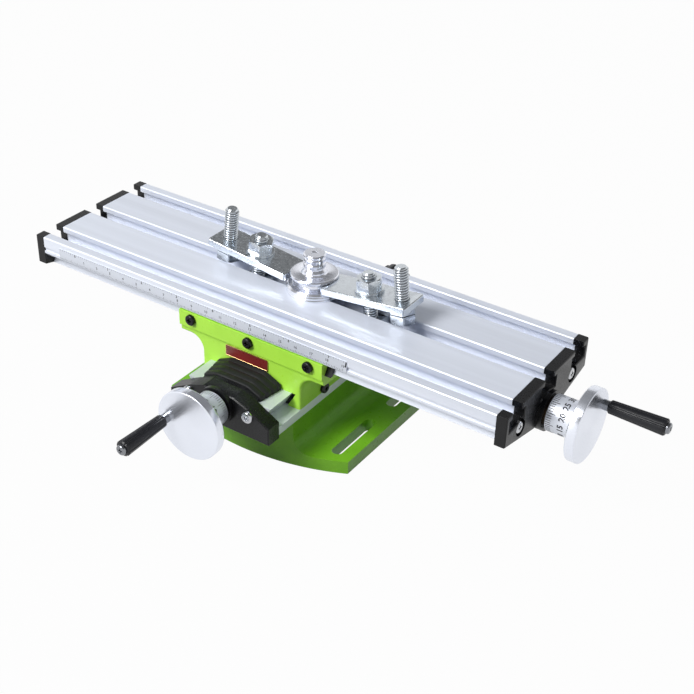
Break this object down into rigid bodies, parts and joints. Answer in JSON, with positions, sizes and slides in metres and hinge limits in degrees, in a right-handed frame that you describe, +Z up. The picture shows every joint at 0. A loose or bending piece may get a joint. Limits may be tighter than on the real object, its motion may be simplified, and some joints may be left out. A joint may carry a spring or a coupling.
{
  "type": "cross slide vise",
  "caption": "Compact two-axis cross slide: slotted aluminium table on a cast saddle and base, moved by lead screws with crank handwheels, with strap clamps holding a stepped turned part.",
  "frame": {"origin": "centre of the base casting's foot face, where its two middle ribs cross", "axes": "+Z up from the foot to the table; +X along the table towards its handwheel; +Y away from the saddle's handwheel"},
  "size_m": [0.3752, 0.2226, 0.1139],
  "materials": {
    "base_paint": "gloss enamel over a casting",
    "saddle_paint": "gloss enamel over a casting",
    "black_paint": "satin powder coat",
    "table_aluminium": "extruded, clear anodised",
    "rail_aluminium": "extruded, clear anodised",
    "dial_aluminium": "turned, satin",
    "ruler_face": "printed strip",
    "plain_steel": "bright, oiled",
    "bright_steel": "nickel plated",
    "clamp_steel": "zinc plated",
    "turned_steel": "turned, polished",
    "black_steel": "black oxide",
    "bronze": "turned bronze",
    "black_plastic": "moulded, fine texture"
  },
  "bodies": {
    "base": {"base_casting": "base_paint", "y_rail": "rail_aluminium", "rail_screws": "black_steel", "y_end_bracket": "black_paint", "y_bracket_screws": "bright_steel", "y_bushing": "bronze", "rear_rail_cap": "black_paint", "rear_cap_screws": "bright_steel"},
    "saddle": {"saddle_casting": "saddle_paint", "x_nut": "bronze", "y_nut": "bronze", "x_gib": "plain_steel", "y_gib": "plain_steel", "x_gib_screws": "black_steel", "y_gib_screws": "black_steel"},
    "lock": {"x_lock_stud": "plain_steel", "x_lock_knob": "black_plastic"},
    "y_screw": {"y_lead_screw": "plain_steel", "y_thrust_washer": "bronze", "y_dial": "dial_aluminium", "y_handwheel": "dial_aluminium", "y_grub_screw": "black_steel", "y_crank_screw": "bright_steel"},
    "y_grip": {"y_crank_grip": "black_plastic"},
    "table": {"table_extrusion": "table_aluminium", "ruler_strip": "ruler_face", "left_end_cap": "black_paint", "right_end_cap": "black_paint", "left_cap_screws": "bright_steel", "right_cap_screws": "bright_steel", "left_bushing": "bronze", "right_bushing": "bronze", "workpiece": "turned_steel"},
    "x_screw": {"x_lead_screw": "plain_steel", "x_thrust_washer": "bronze", "x_dial": "dial_aluminium", "x_handwheel": "dial_aluminium", "x_grub_screw": "black_steel", "x_crank_screw": "bright_steel"},
    "x_grip": {"x_crank_grip": "black_plastic"},
    "left_clamp": {"left_t_bolt": "clamp_steel", "left_washer": "clamp_steel", "left_nut": "clamp_steel"},
    "left_strap_set": {"left_strap": "clamp_steel", "left_jack_bolt": "clamp_steel", "left_jack_nut": "clamp_steel"},
    "right_clamp": {"right_t_bolt": "clamp_steel", "right_washer": "clamp_steel", "right_nut": "clamp_steel"},
    "right_strap_set": {"right_strap": "clamp_steel", "right_jack_bolt": "clamp_steel", "right_jack_nut": "clamp_steel"}
  },
  "joints": [
    {"name": "saddle_slide", "type": "slide", "parent": "base", "child": "saddle", "axis": [0, 1, 0], "range_m": [0, 0.05]},
    {"name": "y_screw_turn", "type": "hinge", "parent": "base", "child": "y_screw", "pos_m": [0, -0.0848, 0.0397], "axis": [0, -1, 0], "range_deg": [0, 14401]},
    {"name": "y_grip_spin", "type": "hinge", "parent": "y_screw", "child": "y_grip", "pos_m": [-0.01449, -0.125, 0.03919], "axis": [0, -1, 0], "continuous": true},
    {"name": "table_slide", "type": "slide", "parent": "saddle", "child": "table", "axis": [1, 0, 0], "range_m": [-0.095, 0.095]},
    {"name": "x_screw_turn", "type": "hinge", "parent": "table", "child": "x_screw", "pos_m": [0.1586, -0.0108, 0.0607], "axis": [1, 0, 0], "range_deg": [-27361, 27361]},
    {"name": "x_grip_spin", "type": "hinge", "parent": "x_screw", "child": "x_grip", "pos_m": [0.2, 0.00245, 0.0666], "axis": [1, 0, 0], "continuous": true},
    {"name": "lock_turn", "type": "hinge", "parent": "saddle", "child": "lock", "pos_m": [0.0285, 0.04, 0.0638], "axis": [0, 1, 0], "range_deg": [-180, 180]},
    {"name": "left_clamp_slide", "type": "slide", "parent": "table", "child": "left_clamp", "axis": [1, 0, 0], "range_m": [-0.08, 0]},
    {"name": "right_clamp_slide", "type": "slide", "parent": "table", "child": "right_clamp", "axis": [1, 0, 0], "range_m": [0, 0.06]},
    {"name": "left_strap_swivel", "type": "hinge", "parent": "left_clamp", "child": "left_strap_set", "pos_m": [-0.02526, -0.0108, 0.09238], "axis": [0.1045, 0, 0.9945], "range_deg": [-8, 8]},
    {"name": "right_strap_swivel", "type": "hinge", "parent": "right_clamp", "child": "right_strap_set", "pos_m": [0.04765, -0.0108, 0.09257], "axis": [-0.1045, 0, 0.9945], "range_deg": [-8, 8]}
  ],
  "couplings": [
    {"joint": "y_screw_turn", "follows": "saddle_slide", "rad_per_m": 5026.5},
    {"joint": "x_screw_turn", "follows": "table_slide", "rad_per_m": 5026.5}
  ]
}
